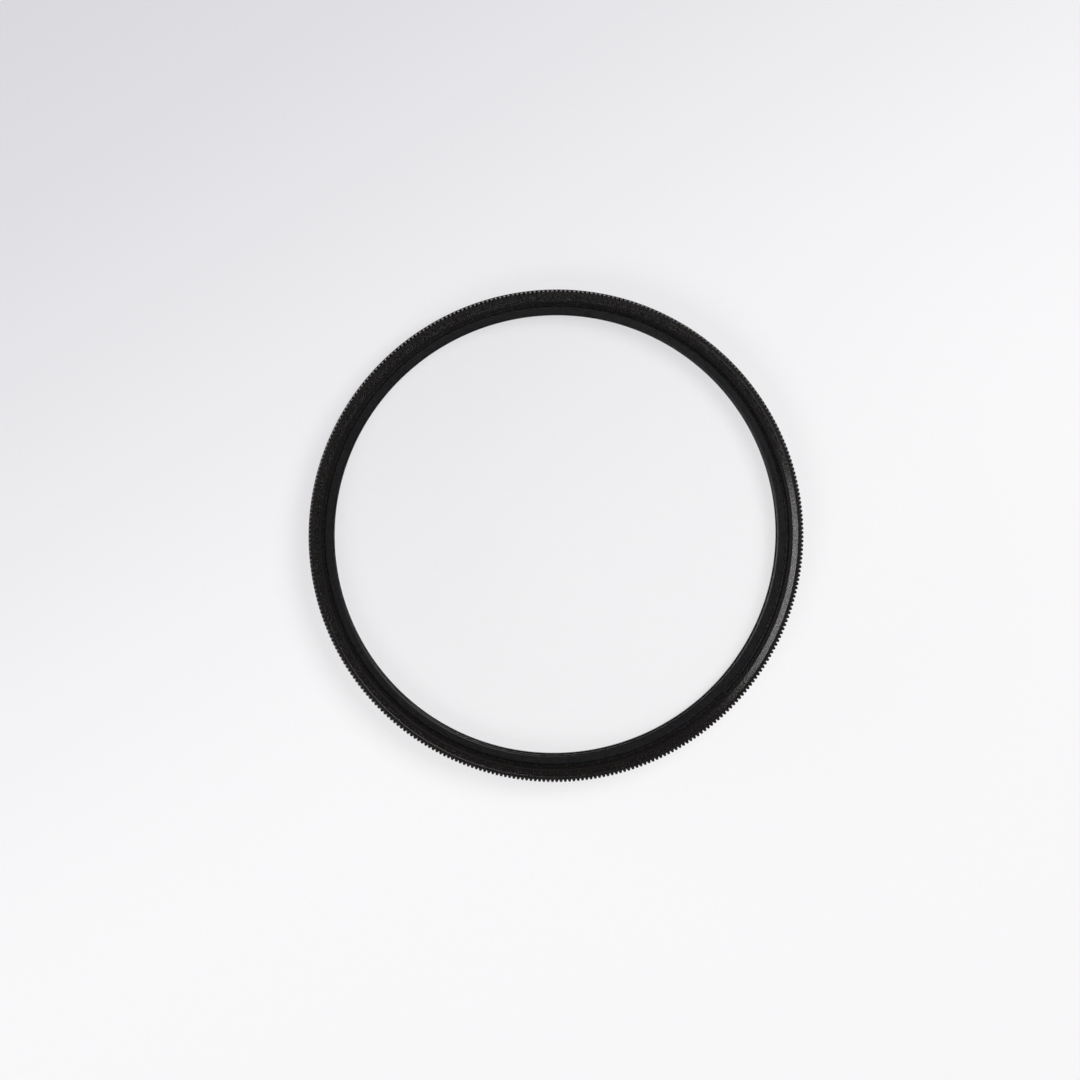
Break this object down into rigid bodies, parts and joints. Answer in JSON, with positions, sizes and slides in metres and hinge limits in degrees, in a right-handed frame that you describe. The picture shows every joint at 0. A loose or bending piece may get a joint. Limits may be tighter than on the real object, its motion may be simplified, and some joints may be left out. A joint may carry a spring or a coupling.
{
  "type": "screw-in lens filter",
  "caption": "Slim black ring with a knurled rim, a clear glass disc held inside it, an inner thread in front and an outer thread behind, to screw on the front of a camera lens.",
  "frame": {"origin": "centre of the rear end, the plane that the filter lies on", "axes": "+Z along the optical axis, out of the front; +X to the right and +Y up in the picture's view"},
  "size_m": [0.07, 0.07, 0.005],
  "materials": {
    "black_anodised": "satin black anodised",
    "clear_glass": "polished, coated against reflections"
  },
  "bodies": {
    "root": {"frame_ring": "black_anodised", "filter_glass": "clear_glass", "retaining_ring": "black_anodised"}
  },
  "joints": []
}
